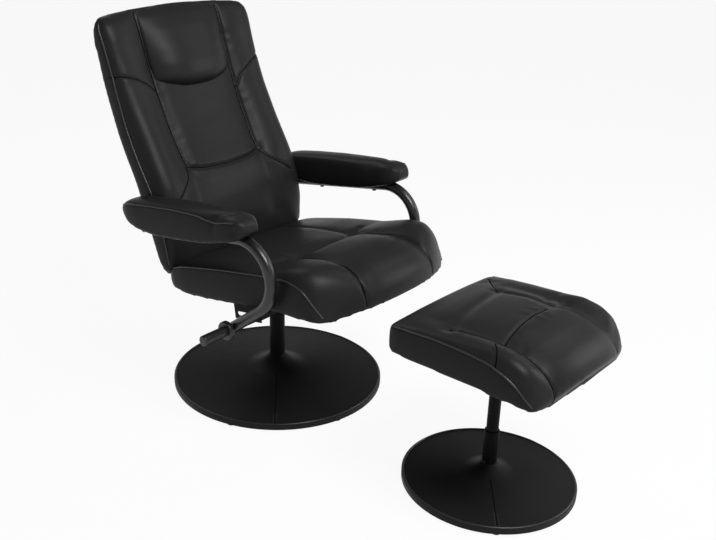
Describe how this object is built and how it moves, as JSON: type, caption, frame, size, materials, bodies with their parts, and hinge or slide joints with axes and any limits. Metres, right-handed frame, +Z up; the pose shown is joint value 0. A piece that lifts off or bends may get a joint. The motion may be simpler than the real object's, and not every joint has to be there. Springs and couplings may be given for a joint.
{
  "type": "recliner with footstool",
  "caption": "Padded swivel recliner on a round pedestal with bent tube arms, tilting back, gliding seat and side locking knob, with a matching footstool.",
  "frame": {"origin": "on the floor, on the chair's swivel axis", "axes": "the chair faces -Y and the footstool stands in front of it, +Z is up, +X is the side to the right of someone facing the chair"},
  "size_m": [0.7213, 1.3103, 0.9956],
  "materials": {
    "black_leatherette": "soft satin, fine grain",
    "black_steel": "satin black paint",
    "zinc_steel": "plain zinc",
    "black_plastic": "moulded matte",
    "black_board": "board under black lining cloth"
  },
  "bodies": {
    "chair_base": {"chair_base_cover": "black_leatherette", "chair_base_shell": "black_steel", "chair_base_plate": "black_steel", "chair_glides": "black_plastic", "chair_post": "black_steel", "swivel_bush_upper": "black_plastic", "swivel_bush_lower": "black_plastic"},
    "chair_frame": {"swivel_spindle": "zinc_steel", "swivel_plate": "black_steel", "cross_tube": "black_steel", "cross_insert_left": "black_plastic", "cross_insert_right": "black_plastic", "arm_spacer_left": "black_plastic", "arm_spacer_right": "black_plastic", "arm_bolt_right": "zinc_steel", "rail_stand": "black_steel", "slide_rail_left": "black_steel", "slide_rail_right": "black_steel", "arm_tube_left": "black_steel", "arm_tube_right": "black_steel", "arm_board_left": "black_board", "arm_board_right": "black_board", "arm_pad_left": "black_leatherette", "arm_pad_right": "black_leatherette", "arm_screws": "zinc_steel", "pivot_bush_left": "black_plastic", "pivot_bush_right": "black_plastic"},
    "lock_knob": {"lock_rod": "zinc_steel", "knob_collar": "black_plastic", "knob_grip": "black_plastic"},
    "seat": {"seat_runner_left": "black_steel", "seat_runner_right": "black_steel", "clamp_plate_left": "black_steel", "clamp_plate_right": "black_steel", "seat_board": "black_board", "seat_screws": "zinc_steel", "seat_cushion": "black_leatherette"},
    "back": {"back_board": "black_board", "back_cushion": "black_leatherette", "head_pillow": "black_leatherette", "back_rear_pad": "black_leatherette", "pivot_plate_left": "black_steel", "pivot_plate_right": "black_steel", "pivot_bolts": "zinc_steel", "pivot_spacers": "black_plastic"},
    "footstool": {"stool_base_cover": "black_leatherette", "stool_base_shell": "black_steel", "stool_base_plate": "black_steel", "stool_glides": "black_plastic", "stool_sleeve": "black_steel", "stool_sleeve_bolt": "zinc_steel", "stool_post": "black_steel", "stool_plate": "black_steel", "stool_board": "black_board", "stool_screws": "zinc_steel", "stool_cushion": "black_leatherette"}
  },
  "joints": [
    {"name": "swivel", "type": "hinge", "parent": "chair_base", "child": "chair_frame", "pos_m": [0, 0, 0.15], "axis": [0, 0, 1], "continuous": true},
    {"name": "recline", "type": "hinge", "parent": "chair_frame", "child": "back", "pos_m": [0, 0.18, 0.4835], "axis": [-1, 0, 0], "range_deg": [0, 25]},
    {"name": "seat_slide", "type": "slide", "parent": "chair_frame", "child": "seat", "axis": [0, -0.9877, 0.1564], "range_m": [0, 0.053]},
    {"name": "knob_turn", "type": "hinge", "parent": "chair_frame", "child": "lock_knob", "pos_m": [-0.3495, -0.11651, 0.29558], "axis": [-1, 0, 0], "range_deg": [0, 180]},
    {"name": "footstool_shift", "type": "slide", "parent": "chair_base", "child": "footstool", "axis": [0, -1, 0], "range_m": [0, 0.35]}
  ],
  "couplings": [
    {"joint": "seat_slide", "follows": "recline", "m_per_rad": 0.119}
  ]
}
